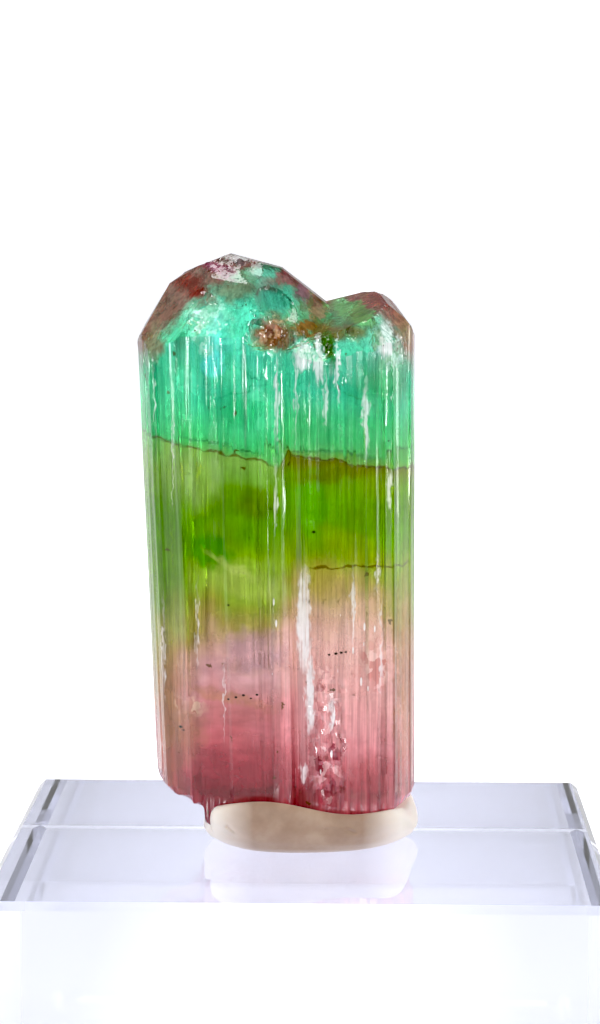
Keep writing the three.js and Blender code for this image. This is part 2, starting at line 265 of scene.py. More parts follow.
turns, outline_length = spread_turns()
rise = ((heights - FOOT_Z) / (SHOULDER_Z - FOOT_Z))[:, None]
origins = np.stack([np.broadcast_to(AXIS_AT_FOOT[0] - LEAN_TO_LEFT * rise, (len(heights), COLUMNS)),
                    np.full((len(heights), COLUMNS), AXIS_AT_FOOT[1]),
                    np.broadcast_to(heights[:, None], (len(heights), COLUMNS))], -1)
directions = np.stack([np.cos(lifts)[:, None] * np.cos(turns), np.cos(lifts)[:, None] * np.sin(turns),
                       np.broadcast_to(np.sin(lifts)[:, None], (len(heights), COLUMNS))], -1)
crystal = origins + directions * reach(origins, directions, 17)[..., None]

# Points close to an edge are drawn onto it, so that the end faces meet in sharp lines
EDGE_PULL = 0.05


def draw_to_edges(points):
    """Moves points onto all the planes within EDGE_PULL of them by the shortest way: the sum of each
    plane's outer product of its normal, inverted, times the sum of the normals times the distances."""
    flat = points.reshape(-1, 3)
    u, v = in_plan(flat)
    product, pull = np.zeros((len(flat), 3, 3)), np.zeros((len(flat), 3))
    both = []
    for sides, faces in ((left_sides, left_planes), (right_sides, right_planes)):
        distances = [((u - start[0]) * outside[0] + (v - start[1]) * outside[1]
                      - np.interp((u - start[0]) * along[0] + (v - start[1]) * along[1], places, steps))
                     for start, along, outside, places, steps in sides]
        normals = np.concatenate([[[*outside, 0] for _, _, outside, _, _ in sides], faces[0]])
        both.append((np.concatenate([np.array(distances), (flat @ faces[0].T - faces[1]).T]), normals))
    for distances, normals in both:
        own = np.abs(distances.max(0)) < EDGE_PULL
        for distance, normal in zip(distances, normals):
            weight = (own & (np.abs(distance) < EDGE_PULL)).astype(float)
            product += weight[:, None, None] * np.outer(normal, normal)
            pull += (weight * distance)[:, None] * normal
    moved = -np.einsum("nij,nj->ni", np.linalg.pinv(product, rcond=0.02, hermitian=True), pull)
    short = np.linalg.norm(moved, axis=1, keepdims=True) < 2.5 * EDGE_PULL
    return (flat + np.where(short, moved, 0)).reshape(points.shape)


upper = lifts > np.radians(20)
upper[-1] = False
crystal[upper] = draw_to_edges(crystal[upper])

# Growth striations on the prism, 0.2 to 0.5 mm apart, that start and end along the height
STRIA_PITCH, STRIA_HEIGHT, STRIA_RUN, STRIA_TOP_Z, SHARE_ON_ENDS = 0.3, 0.02, 6.0, 62, 0.15
rng = np.random.default_rng(11)
along_rim = np.linspace(0, outline_length, COLUMNS)
levels = int((STRIA_TOP_Z - FOOT_Z) / STRIA_RUN) + 2
knots = int(outline_length / STRIA_PITCH)
ribs = np.array([np.interp(along_rim, np.sort(rng.uniform(0, outline_length, knots)),
                           rng.uniform(-1, 1, knots)) for _ in range(levels)])
place = (crystal[..., 2] - FOOT_Z) / STRIA_RUN
below = np.clip(place.astype(int), 0, levels - 2)
share = place - below
share = share * share * (3 - 2 * share)
column = np.broadcast_to(np.arange(COLUMNS), below.shape)
relief = STRIA_HEIGHT * (ribs[below, column] * (1 - share) + ribs[below + 1, column] * share)
on_end = beyond_crystal(crystal, parts=True)[1]
relief *= np.where(on_end, SHARE_ON_ENDS, 1)

# Etched and broken places: centre, radius, relief and grain in millimetres
ETCHED = [
    ((-2.4, -5.2, 54.9), 1.7, 0.1, 0.42), ((-0.6, -5, 54.9), 1.5, 0.1, 0.4),
    ((1.2, -5.6, 54.2), 1.4, 0.07, 0.4), ((-6.7, -4.6, 56.2), 1.9, 0.06, 0.45),
    ((-9.6, -3.6, 53.4), 1.5, 0.04, 0.5), ((6.6, -4.4, 53.6), 1.4, 0.06, 0.45),
    ((-5.6, -2, 59), 1.3, 0.07, 0.3), ((1.6, -5.5, 30.4), 1.5, 0.13, 0.45),
    ((1.8, -5.5, 27.6), 1.6, 0.12, 0.42), ((1.9, -5.5, 25), 1.6, 0.12, 0.4),
    ((0.6, -5.5, 33.2), 1, 0.05, 0.4), ((-2.4, -5.5, 36.6), 1.2, 0.03, 0.5),
    ((5.6, -5, 47), 1.6, 0.03, 0.5), ((-9.8, -3.6, 48), 1.2, 0.03, 0.5),
    ((4, 5, 54), 2, 0.08, 0.5), ((-4, 5.6, 55), 2, 0.08, 0.5),
]


def broken(points, grain, seed):
    """Flat flakes with sharp borders: each point takes the height of a tilted plane that belongs to the
    nearest of many scattered seeds."""
    chance = np.random.default_rng(seed)
    low, high = points.min(0), points.max(0)
    count = int(np.clip(1.6 * np.prod(np.maximum(high - low, grain)) / grain ** 3, 12, 160))
    seeds = chance.uniform(low, high, (count, 3))
    tilt, height = chance.normal(0, 0.9 / grain, (count, 3)), chance.uniform(-0.5, 0.5, count)
    nearest = np.linalg.norm(points[:, None] - seeds, axis=2).argmin(1)
    return height[nearest] + np.sum(tilt[nearest] * (points - seeds[nearest]), 1)


for index, (centre, radius, depth, grain) in enumerate(ETCHED):
    away = np.linalg.norm((crystal - centre) * [1, 1, 0.8], axis=-1) / radius
    inside = away < 1
    fade = np.clip(2.5 * (1 - away[inside]), 0, 1)
    flakes = np.clip(broken(crystal[inside], grain, index), -1, 1)
    relief[inside] += depth * fade * flakes - 0.3 * depth * fade
relief[lifts <= np.radians(-60)] = 0
MOST_RELIEF = 0.035
crystal += directions * np.minimum(relief, MOST_RELIEF)[..., None]


def grid_piece(name, points, crease):
    """A closed piece from a grid of points in millimetres: rows run from the lower pole to the upper one
    and columns run round it. The first and last rows become single points at the poles. Edges sharper
    than the crease angle, in degrees, are shaded sharp."""
    rows, columns = points.shape[:2]
    vertices = np.concatenate([points[:1, 0], points[1:-1].reshape(-1, 3), points[-1:, 0]]) / MM_IN_M
    start = 1 + np.arange(rows - 3)[:, None] * columns
    here, there = np.arange(columns), np.roll(np.arange(columns), -1)
    quads = np.stack([start + here, start + there, start + columns + there, start + columns + here], -1)
    last = len(vertices) - 1
    lower = np.stack([1 + there, 1 + here, np.zeros(columns, int)], 1)
    upper_ring = 1 + (rows - 3) * columns
    top = np.stack([upper_ring + here, upper_ring + there, np.full(columns, last)], 1)
    mesh = bpy.data.meshes.new(name)
    mesh.from_pydata(vertices, [], [*quads.reshape(-1, 4).tolist(), *lower.tolist(), *top.tolist()])
    mesh.shade_smooth()
    mesh.set_sharp_from_angle(angle=math.radians(crease))
    made = bpy.data.objects.new(name, mesh)
    bpy.context.scene.collection.objects.link(made)
    return made


tourmaline = grid_piece("tourmaline_crystal", crystal, crease=7)
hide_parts("tourmaline")
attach(tourmaline, "root")


def linear(code):
    """A colour as linear red, green and blue with alpha 1, from its sRGB hex code: each channel is
    divided by 12.92 below 0.04045 and raised to 2.4 above it."""
    channel = np.array([int(code[i:i + 2], 16) for i in (0, 2, 4)]) / 255
    return (*np.where(channel <= 0.04045, channel / 12.92, ((channel + 0.055) / 1.055) ** 2.4), 1.0)


def add(tree, kind, *inputs, out=0, **settings):
    """Adds a node with its settings, gives its inputs their numbers or links, and returns one of its
    outputs, or the node itself. The inputs come in order, or in a dictionary by name or place."""
    node = tree.nodes.new("ShaderNode" + kind)
    for key, value in settings.items():
        if key == "stops":
            while len(node.color_ramp.elements) < len(value):
                node.color_ramp.elements.new(0.5)
            for element, (position, colour) in zip(node.color_ramp.elements, value):
                element.position, element.color = position, linear(colour)
        else:
            setattr(node, key, value)
    named = inputs[0] if inputs and isinstance(inputs[0], dict) else dict(enumerate(inputs))
    for key, value in named.items():
        if isinstance(value, bpy.types.NodeSocket):
            tree.links.new(value, node.inputs[key])
        else:
            node.inputs[key].default_value = value
    return node if out is None else node.outputs[out]


# Tourmaline: a glassy boron silicate, cloudy with fine tubes and healed cracks, so that it glows where
# light passes through it. Colour changes with height as the melt changed while it grew.
tourmaline_gem = bpy.data.materials.new("watermelon_tourmaline_gem")
tourmaline_gem.use_nodes = True
gem = tourmaline_gem.node_tree
gem.nodes.clear()
gem_place = add(gem, "VectorMath", {0: add(gem, "TexCoord", out="Object"), "Scale": MM_IN_M},
                operation="SCALE")
gem_x, gem_y, gem_z = add(gem, "SeparateXYZ", gem_place, out=None).outputs

# The healed crack across the crystal: it dips to the right, and starts again higher past the groove.
# Colours above and below don't match across it
CRACK_Z = 46.4
jitter = add(gem, "TexNoise", {"Vector": gem_place, "Scale": 0.9, "Detail": 3})
left_crack = add(gem, "Math", gem_x, -0.205, 45.65, operation="MULTIPLY_ADD")
right_crack = add(gem, "Math", gem_x, -0.14, 46.55, operation="MULTIPLY_ADD")
crack_height = add(gem, "Mix", {0: add(gem, "MapRange", gem_x, -1.6, -1.0), 2: left_crack, 3: right_crack})
crack_height = add(gem, "Math", crack_height, add(gem, "MapRange", jitter, 0.3, 0.7, -0.22, 0.22),
                   operation="ADD")
above_crack = add(gem, "Math", gem_z, crack_height, operation="SUBTRACT")
from_crack = add(gem, "Math", above_crack, operation="ABSOLUTE")

# Borders between colours wander by about a millimetre, but not at the crack
wander = add(gem, "TexNoise", {"Vector": gem_place, "Scale": 0.28, "Detail": 1})
drift = add(gem, "Math", add(gem, "MapRange", wander, 0.25, 0.75, -1.25, 1.25),
            add(gem, "MapRange", from_crack, 0, 5), operation="MULTIPLY")

# The green rind reaches further down the two narrow sides
lower = add(gem, "MapRange", gem_z, 43, 38)
rind_left = add(gem, "MapRange", gem_x, -6.0, -9.2, 0, 5.5)
rind_right = add(gem, "MapRange", gem_x, 5.4, 7.2, 0, 2.6)
rind = add(gem, "Math", add(gem, "Math", rind_left, rind_right, operation="ADD"), lower, operation="MULTIPLY")
height = add(gem, "Math", add(gem, "Math", above_crack, CRACK_Z, operation="ADD"),
             add(gem, "Math", rind, drift, operation="ADD"), operation="ADD")

# Colours by height in millimetres, for the left and the right crystal
RAMP_FOOT, RAMP_TOP = 20, 62
LEFT_ZONES = [
    (21.5, "8E3040"), (24, "A44450"), (26.5, "C06870"), (30, "CC8C8C"), (32.5, "D4AAAC"), (34.6, "C4A68C"),
    (35.8, "A09A4C"), (37.6, "97B44A"), (39.6, "8CAE38"), (41.2, "66A012"), (43.4, "78A81E"), (45, "92C062"),
    (46.36, "9AC468"), (46.44, "78C878"), (46.8, "5CD486"), (49, "6CE4AC"), (52, "68DEBA"), (55, "6AD6B8"),
    (57.2, "5AAA90"), (59, "5E9A8C"),
]
RIGHT_ZONES = [
    (21.5, "943444"), (24, "C26670"), (28, "DA989C"), (31.5, "E4B4B0"), (35, "E2B8AE"), (36.6, "CDB090"),
    (38, "B2A862"), (39.3, "94AC38"), (40.6, "80AC1A"), (43.4, "76B00A"), (45.2, "86AE14"), (45.9, "88900C"),
    (46.36, "7C7414"), (46.44, "8CCB78"), (46.9, "66D084"), (48.4, "66D894"), (51.5, "5CD6B0"),
    (53.8, "74C6AC"), (55.4, "6C9A74"), (57.4, "749A72"),
]
zone = add(gem, "MapRange", height, RAMP_FOOT, RAMP_TOP)
left_colour, right_colour = (
    add(gem, "ValToRGB", zone, stops=[((z - RAMP_FOOT) / (RAMP_TOP - RAMP_FOOT), code) for z, code in zones])
    for zones in (LEFT_ZONES, RIGHT_ZONES))
past_groove = add(gem, "MapRange", gem_x, -1.9, -1.2)
colour = add(gem, "Mix", {0: past_groove, 6: left_colour, 7: right_colour}, data_type="RGBA", out=2)

# Blotches have ragged edges, a third of a millimetre deep
rag = add(gem, "TexNoise", {"Vector": gem_place, "Scale": 1.1, "Detail": 3, "Roughness": 0.6}, out="Color")
rag = add(gem, "VectorMath", rag, (1.6, 0, 1.6), (-0.8, 0, -0.8), operation="MULTIPLY_ADD")
ragged = add(gem, "VectorMath", gem_place, rag, operation="ADD")


def within(tree, place, centre, half_size, turn, edge, most=1.0):
    """Most inside an ellipsoid and 0 outside: the place is taken less the centre, turned about Y and divided
    by the half sizes and the edge, and one less its length is graded across the edge."""
    ball = add(tree, "TexGradient", place, gradient_type="SPHERICAL", out=None)
    ball.texture_mapping.vector_type = "TEXTURE"
    ball.texture_mapping.translation = centre
    ball.texture_mapping.rotation = (0, -math.radians(turn), 0)
    ball.texture_mapping.scale = np.array(half_size) * (1 + edge)
    return add(tree, "MapRange", ball.outputs[1], 0, 2 * edge / (1 + edge), 0, most)


# Mauve skin over the ends and down the outer shoulders: all that lies outside an upright oval column of
# each crystal. Centre, half size, colour, and x where the crystal's own half begins and where it is full
SKINS = [
    ((-3.7, 0, 50), (6.7, 99, 7.7), "8E625C", 0.6, 0.2), ((2.2, 0, 49.6), (5.1, 99, 6.3), "96605A", 0.2, 0.6),
]
dull = 0.0
for centre, half_size, code, begins, full in SKINS:
    outer = add(gem, "Math", 1.0, within(gem, ragged, centre, half_size, 0, 0.07), operation="SUBTRACT")
    skin_share = add(gem, "Math", outer, add(gem, "MapRange", gem_x, begins, full), operation="MULTIPLY")
    skin_share = add(gem, "Math", skin_share, add(gem, "MapRange", gem_z, 51, 53.5), operation="MULTIPLY")
    dull = add(gem, "Math", dull, add(gem, "Math", skin_share, 0.55, operation="MULTIPLY"),
               operation="MAXIMUM")
    colour = add(gem, "Mix", {0: skin_share, 6: colour, 7: linear(code)}, data_type="RGBA", out=2)

# Patches on the front lie round its face and reach some way in, and on the caps right through. Those on
# the caps also clear the skin away. Listed: x, z, half width, half height, turn, colour, strength, edge
FACE_Y, DEPTH, CAP_DEPTH, CAP_Z = -6, 4.5, 9, 56
BLOTCHES = [
    (-2.6, 58.5, 1.3, 0.6, 18, "6CB29C", 0.9, 0.3), (-3.9, 58.2, 0.8, 0.4, 0, "7E9C7C", 0.8, 0.4),
    (-1.6, 56.7, 1.25, 1.05, 20, "4C9C86", 0.95, 0.25), (1.6, 53.4, 0.5, 1.1, 15, "3C7A34", 0.9, 0.3),
    (3.0, 56.1, 2.2, 0.7, -22, "92C47C", 1.0, 0.15), (5.0, 55.0, 0.6, 1.4, 0, "A4C8BC", 0.7, 0.4),
    (-4.1, 50.8, 1.6, 0.05, 20, "1C7A4E", 0.8, 0.4), (-6.5, 52.1, 0.06, 1.0, 0, "1E6E64", 0.8, 0.4),
    (-3.3, 51.9, 0.7, 0.04, -8, "1C7A5A", 0.8, 0.4), (3.8, 50.3, 1.8, 0.05, -25, "4E9A44", 0.6, 0.4),
    (5.2, 51.4, 1.6, 1.3, 0, "76B868", 0.6, 0.6), (-6.4, 55.5, 1.3, 1.4, 20, "B4E0C4", 0.75, 0.6),
    # The next two are the bright cyan spot: a painted highlight, for light off a facet inside the crystal
    (-5.9, 52.6, 0.75, 0.85, 0, "7CFAF2", 1.0, 0.25), (-5.7, 54.3, 0.7, 1.2, 0, "7CEAE0", 0.8, 0.5),
    (-6.2, 50.6, 1.6, 1.2, 0, "3BBF9E", 0.5, 0.5), (-3.8, 49.6, 1.4, 1.2, 0, "34BE78", 0.6, 0.5),
    (-4.6, 42.0, 2.9, 1.5, -35, "74A208", 0.9, 0.2), (-3.0, 43.4, 1.3, 0.9, 0, "6A7C00", 0.8, 0.4),
    (-6.1, 40.2, 1.6, 1.1, -30, "3C9000", 0.9, 0.2), (0.6, 43.5, 0.95, 2.2, 0, "6AB408", 0.9, 0.15),
    (4.6, 42.6, 2.4, 1.4, 20, "6C9400", 0.7, 0.3), (3.4, 40.6, 2.4, 0.9, -25, "96A418", 0.7, 0.3),
    (-7.6, 44.8, 2.1, 1.9, 0, "B4D08C", 0.8, 0.3), (-3.6, 38.1, 2.8, 0.9, -12, "B0C468", 0.8, 0.3),
    (-4.8, 39.3, 1.8, 0.3, -30, "C2CC80", 0.7, 0.4), (2.0, 45.4, 2.6, 0.4, 6, "828000", 0.8, 0.4),
    (5.2, 44.6, 1.2, 0.9, 0, "8FA81C", 0.7, 0.4), (1.2, 38.6, 1.4, 1.2, 0, "B0A838", 0.6, 0.5),
    (-3.2, 33.6, 1.8, 1.4, 0, "BE9CA8", 0.7, 0.3), (-3.6, 25.6, 3.2, 1.5, 0, "98404A", 0.7, 0.6),
    (-5.2, 30.6, 2.9, 0.35, -12, "B48A6C", 0.65, 0.5), (-2.7, 28.2, 0.8, 0.9, 0, "C88088", 0.6, 0.4),
    (-9.2, 29.4, 1.3, 5.0, 0, "A88050", 0.85, 0.5), (-7.6, 28.4, 0.9, 1.6, 0, "A98C64", 0.55, 0.5),
    (7.0, 31.5, 0.8, 6.5, 0, "A47C44", 0.85, 0.5), (-8.9, 40.6, 1.4, 4.6, 0, "5C8C10", 0.85, 0.4),
    (-9.9, 50.2, 0.9, 3.2, 0, "2FA878", 0.85, 0.5), (7.3, 42.5, 0.5, 3.5, 0, "7C8C20", 0.8, 0.5),
    (4.3, 25.3, 1.6, 1.2, 0, "A0464C", 0.7, 0.6), (3.2, 34.6, 1.8, 1.9, 0, "E6C6BC", 0.6, 0.6),
    (5.9, 53.0, 0.9, 0.9, 0, "A8B49C", 0.6, 0.5),
]
for x, z, half_width, half_height, turn, code, strength, edge in BLOTCHES:
    depth = DEPTH if z < CAP_Z else CAP_DEPTH
    share = within(gem, ragged, (x, FACE_Y, z), (half_width, depth, half_height), turn, edge, strength)
    colour = add(gem, "Mix", {0: share, 6: colour, 7: linear(code)}, data_type="RGBA", out=2)
    if z > CAP_Z - 1:
        dull = add(gem, "Math", dull, add(gem, "Math", 1.0, share, operation="SUBTRACT"),
                   operation="MULTIPLY")

# Stains hold fine grains of iron and manganese oxide, so they are duller and let less light through
STAINS = [
    (-7.6, 57.6, 1.7, 0.75, -30, "82302A", 1.0, 0.35), (-9.2, 56.0, 1.1, 0.8, -50, "8A5A52", 0.9, 0.4),
    (-5.9, 58.8, 1.3, 0.5, -22, "A45674", 0.9, 0.4), (-1.2, 58.3, 0.6, 0.6, 20, "8C5056", 0.9, 0.4),
    (-0.1, 57.4, 0.5, 0.9, 0, "8E5F70", 0.9, 0.25), (1.0, 56.8, 0.75, 0.5, 25, "74402A", 1.0, 0.3),
    (-2.1, 54.6, 1.1, 1.1, 0, "9C5C3C", 1.0, 0.45), (-1.4, 54.2, 0.9, 0.6, 20, "8E4E30", 0.8, 0.4),
    (0.2, 54.9, 1.0, 0.6, 0, "925824", 0.95, 0.3), (1.6, 54.6, 1.1, 0.6, 0, "7C5A20", 0.9, 0.35),
    (1.5, 53.8, 0.55, 0.9, 15, "46681C", 1.0, 0.25), (0.9, 55.8, 0.7, 0.4, -15, "A8866E", 0.9, 0.3),
    (3.3, 54.7, 0.8, 0.4, 0, "8A6A30", 0.7, 0.5), (5.5, 56.6, 1.0, 0.8, 20, "964A48", 0.9, 0.4),
    (6.5, 55.5, 0.8, 0.8, 0, "9C6A5C", 0.9, 0.4), (6.9, 54.5, 0.6, 0.9, 0, "A48E6A", 0.8, 0.5),
    (-4.5, 57.3, 1.3, 0.8, 0, "7C7860", 0.8, 0.4), (-4.2, 59.5, 1.4, 0.4, 0, "A09AA0", 0.7, 0.4),
    (-9.9, 54.0, 0.6, 1.2, 0, "8E7C66", 0.8, 0.4),
]
stained = 0.0
for x, z, half_width, half_height, turn, code, strength, edge in STAINS:
    share = within(gem, ragged, (x, FACE_Y, z), (half_width, CAP_DEPTH, half_height), turn, edge, strength)
    colour = add(gem, "Mix", {0: share, 6: colour, 7: linear(code)}, data_type="RGBA", out=2)
    stained = add(gem, "Math", stained, share, operation="MAXIMUM")
dull = add(gem, "Math", dull, add(gem, "Math", stained, 0.65, operation="MULTIPLY"), operation="MAXIMUM")

# Grit in the skin and the stains, about half a millimetre coarse
grit = add(gem, "TexNoise", {"Vector": gem_place, "Scale": 2.2, "Detail": 2, "Roughness": 0.7})
grit = add(gem, "MapRange", grit, 0.35, 0.65, 0.75, 1.3)
colour = add(gem, "Mix", {0: dull, 6: colour, 7: grit}, data_type="RGBA", blend_type="MULTIPLY", out=2)

# Flaky places, with scales of half to two thirds of a millimetre; the pale flakes are partly pale crackle and
# partly painted glints off the scales
# Listed: x, z, half width, half height, light and dark colour
FLAKY = [
    (1.5, 27.4, 0.95, 4.6, "FBD9D8", "8A2038"), (-6.1, 55.1, 1.3, 1.7, "DFFFF2", "52C8AE"),
    (5.6, 53.7, 0.9, 1.3, "E4F4F4", "5E9A8C"), (-2.1, 54.7, 1.0, 1.1, "E8B898", "6A2A14"),
    (4.8, 32.8, 0.9, 1.6, "F4D4CC", "C07C76"), (-7.4, 29.9, 1.1, 0.5, "E8D2B8", "A87868"),
]
flake = add(gem, "VectorMath", ragged, (1, 0.6, 0.7), operation="MULTIPLY")
flake = add(gem, "TexVoronoi", {"Vector": flake, "Scale": 2.1, "Randomness": 1.0}, out=None)
grain_chance, _, flake_chance = add(gem, "SeparateXYZ", flake.outputs["Color"], out=None).outputs
pale_flake_and_glint = add(gem, "MapRange", flake_chance, 0.7, 0.95, 0, 0.8)
dark_flake = add(gem, "MapRange", flake_chance, 0.35, 0.15, 0, 0.7)
for x, z, half_width, half_height, light_code, dark_code in FLAKY:
    share = within(gem, ragged, (x, FACE_Y, z), (half_width, CAP_DEPTH, half_height), 0, 0.3)
    for flakes, code in ((pale_flake_and_glint, light_code), (dark_flake, dark_code)):
        flaked = add(gem, "Math", share, flakes, operation="MULTIPLY")
        colour = add(gem, "Mix", {0: flaked, 6: colour, 7: linear(code)}, data_type="RGBA", out=2)
    dull = add(gem, "Math", dull, add(gem, "Math", share, 0.35, operation="MULTIPLY"), operation="MAXIMUM")

# Growth tubes along the prism, with painted light and shade: light and dark threads, 0.2 to 0.6 mm apart and
# 5 to 18 mm long, that also stand in for the light and dark bands that the striations throw
threads = add(gem, "VectorMath", gem_place, (1, 1, 0.035), operation="MULTIPLY")
broad = add(gem, "TexNoise", {"Vector": threads, "Scale": 1.6, "Detail": 3, "Roughness": 0.7})
narrow = add(gem, "TexNoise", {"Vector": threads, "Scale": 5.5, "Detail": 1, "Roughness": 0.6})
thread_light_and_shade = add(gem, "Math", add(gem, "MapRange", broad, 0.3, 0.7, 0.82, 1.5),
             add(gem, "MapRange", narrow, 0.35, 0.65, 0.86, 1.15), operation="MULTIPLY")

# The left face is calm in the pink zone: no threads, but clouds that lie level, a millimetre thick
calm = within(gem, ragged, (-4.9, FACE_Y, 28.6), (2.7, 5, 6.6), 0, 0.3)
level = add(gem, "VectorMath", gem_place, (0.3, 0.3, 1.1), operation="MULTIPLY")
level = add(gem, "TexNoise", {"Vector": level, "Scale": 1.1, "Detail": 2})
level = add(gem, "MapRange", level, 0.35, 0.65, 1.0, 1.32)
thread_light_and_shade = add(gem, "Mix", {0: calm, 2: thread_light_and_shade, 3: level})
colour = add(gem, "Mix", {0: 1.0, 6: colour, 7: thread_light_and_shade}, data_type="RGBA", blend_type="MULTIPLY", out=2)

# Iron-brown fill in the crack and in a second one lower on the right, and dark grains over the prism
rust = add(gem, "MapRange", jitter, 0.36, 0.46, 0.2, 0.8)
crack_line = add(gem, "Math", add(gem, "MapRange", from_crack, 0.12, 0.03), rust, operation="MULTIPLY")
lower_height = add(gem, "Math", gem_z, add(gem, "MapRange", jitter, 0.3, 0.7, 39.05, 39.45),
                   operation="SUBTRACT")
lower_line = add(gem, "MapRange", add(gem, "Math", lower_height, operation="ABSOLUTE"), 0.1, 0.03, 0, 0.8)
lower_line = add(gem, "Math", lower_line, add(gem, "MapRange", gem_x, 0.2, 0.8), operation="MULTIPLY")
lower_line = add(gem, "Math", lower_line, add(gem, "MapRange", gem_y, -2, -3.5), operation="MULTIPLY")
grain_reach = add(gem, "MapRange", grain_chance, 0.92, 1.0, 0, 0.3)
grains = add(gem, "Math", grain_reach, flake.outputs["Distance"], operation="GREATER_THAN")
fill = add(gem, "Math", crack_line, lower_line, operation="MAXIMUM")
fill = add(gem, "Math", fill, add(gem, "Math", grains, 0.85, operation="MULTIPLY"), operation="MAXIMUM")
colour = add(gem, "Mix", {0: fill, 6: colour, 7: linear("5A4400")}, data_type="RGBA", out=2)

# Black specks of schorl on the front: x, z and half width
SPECKS = [
    (1.75, 33.45, 0.1), (2.2, 33.52, 0.12), (2.55, 33.58, 0.11), (2.85, 33.62, 0.09), (-4.9, 30.4, 0.09),
    (-4.4, 30.55, 0.1), (-3.9, 30.7, 0.11), (-3.4, 30.5, 0.08), (-3.0, 30.75, 0.1), (-8.1, 28.4, 0.13),
    (-7.9, 28.2, 0.09), (0.7, 41.6, 0.13), (1.8, 57.1, 0.14), (5.6, 47.6, 0.07), (-4.9, 36.7, 0.09),
]
speck = 0.0
for x, z, half_width in SPECKS:
    share = within(gem, gem_place, (x, FACE_Y, z), (half_width, 6, 0.7 * half_width), 0, 0.2)
    speck = add(gem, "Math", speck, share, operation="MAXIMUM")
fill = add(gem, "Math", fill, speck, operation="MAXIMUM")
colour = add(gem, "Mix", {0: speck, 6: colour, 7: linear("1E1A16")}, data_type="RGBA", out=2)

# White tubes and open cracks beside the groove, partly painted highlights for the bright streaks that light
# throws off the striation steps: x, z, half width, half height, strength
WHITE_TUBES_AND_HIGHLIGHTS = [
    (0.1, 35.6, 0.42, 3.0, 1), (0.5, 31.0, 0.28, 2.3, 0.9), (1.95, 29.5, 0.16, 0.9, 1),
    (0.15, 25.5, 0.3, 0.55, 1), (-1.75, 50.0, 0.12, 2.6, 0.9), (4.1, 49.0, 0.2, 2.2, 0.9),
    (2.2, 52.2, 0.1, 1.9, 0.8), (0.0, 53.2, 0.6, 0.8, 1), (0.95, 53.0, 0.32, 1.5, 1),
    (-1.85, 44.0, 0.14, 2.1, 0.85), (5.66, 44.4, 0.18, 1.1, 0.7), (-0.5, 50.6, 0.08, 3.2, 0.6),
    (5.4, 54.2, 0.4, 1.1, 0.8), (-9.85, 50.5, 0.09, 2.0, 0.7), (-8.6, 47.0, 0.07, 3.4, 0.6),
    (-7.0, 35.5, 0.08, 2.6, 0.5), (-5.2, 30.2, 0.07, 2.4, 0.4), (3.3, 36.6, 0.12, 2.2, 0.6),
    (5.2, 34.0, 0.1, 3.0, 0.5), (-9.3, 33.5, 0.1, 3.2, 0.6), (-9.5, 26.6, 0.1, 0.8, 0.8),
    (4.9, 39.0, 0.1, 1.4, 0.5), (1.4, 50.6, 0.1, 2.0, 0.6),
]
white = 0.0
torn = add(gem, "VectorMath", gem_place, (1, 1, 0.4), operation="MULTIPLY")
torn = add(gem, "TexNoise", {"Vector": torn, "Scale": 2.2, "Detail": 2, "Roughness": 0.7}, out="Color")
torn = add(gem, "VectorMath", torn, (0.9, 0, 2.0), (-0.45, 0, -1.0), operation="MULTIPLY_ADD")
torn = add(gem, "VectorMath", gem_place, torn, operation="ADD")
for x, z, half_width, half_height, strength in WHITE_TUBES_AND_HIGHLIGHTS:
    share = within(gem, torn, (x, FACE_Y, z), (half_width, 3.5, half_height), 0, 0.35, strength)
    white = add(gem, "Math", white, share, operation="MAXIMUM")
white = add(gem, "Math", white, add(gem, "MapRange", narrow, 0.38, 0.55, 0.35, 1), operation="MULTIPLY")

# Painted glints: bright ticks up to a sixth of a millimetre wide, standing in for light caught on the
# striations, that crowd in listed places
# Listed: x, z, half width, half height
GLINT_PLACES = [
    (-1.7, 44.5, 0.9, 12.5), (-1.3, 34.5, 1.9, 4.6), (3.9, 33.4, 2.3, 4.6), (-2.1, 54.7, 0.9, 0.9),
    (1.5, 27.6, 1.1, 4.6), (-6.2, 55, 1.5, 1.7), (-7.4, 29.8, 1.1, 0.6), (-9.1, 38, 0.8, 5),
    (5.7, 53.4, 1, 1.6), (-0.4, 53.6, 2.2, 0.9), (-4.2, 59, 1.6, 0.7),
]
crowd = 0.0
for x, z, half_width, half_height in GLINT_PLACES:
    share = within(gem, ragged, (x, FACE_Y, z), (half_width, CAP_DEPTH, half_height), 0, 0.4)
    crowd = add(gem, "Math", crowd, share, operation="MAXIMUM")
glint_cells = add(gem, "VectorMath", gem_place, (1, 0.4, 0.24), operation="MULTIPLY")
glint_cells = add(gem, "TexVoronoi", {"Vector": glint_cells, "Scale": 2.3, "Randomness": 1.0}, out=None)
chosen = add(gem, "SeparateXYZ", glint_cells.outputs["Color"], out=1)
chosen = add(gem, "Math", crowd, 0.34, chosen, operation="MULTIPLY_ADD")
glint_reach = add(gem, "MapRange", chosen, 0.96, 1.3, 0, 0.2)
glint_tick = add(gem, "Math", glint_reach, glint_cells.outputs["Distance"], operation="SUBTRACT")
glint_tick = add(gem, "MapRange", glint_tick, 0, 0.05)
white = add(gem, "Math", white, add(gem, "Math", glint_tick, 0.85, operation="MULTIPLY"), operation="MAXIMUM")

# The colours are deepened as a whole before the white tubes, the painted highlights and the painted glints go
# over them
colour = add(gem, "Gamma", colour, 1.2)
colour = add(gem, "Mix", {0: add(gem, "MapRange", white, 0, 0.65), 6: colour, 7: linear("FFFFFF")},
             data_type="RGBA", out=2)

# Clouds of tiny inclusions, about two millimetres across, dull the gloss and the clearness. White tubes with
# the painted highlights and glints, dark fill, skin and stains dim the clearness too, and so does the
# crystal's cloudy pink foot
cloud = add(gem, "TexNoise", {"Vector": ragged, "Scale": 0.5, "Detail": 2, "Roughness": 0.6})

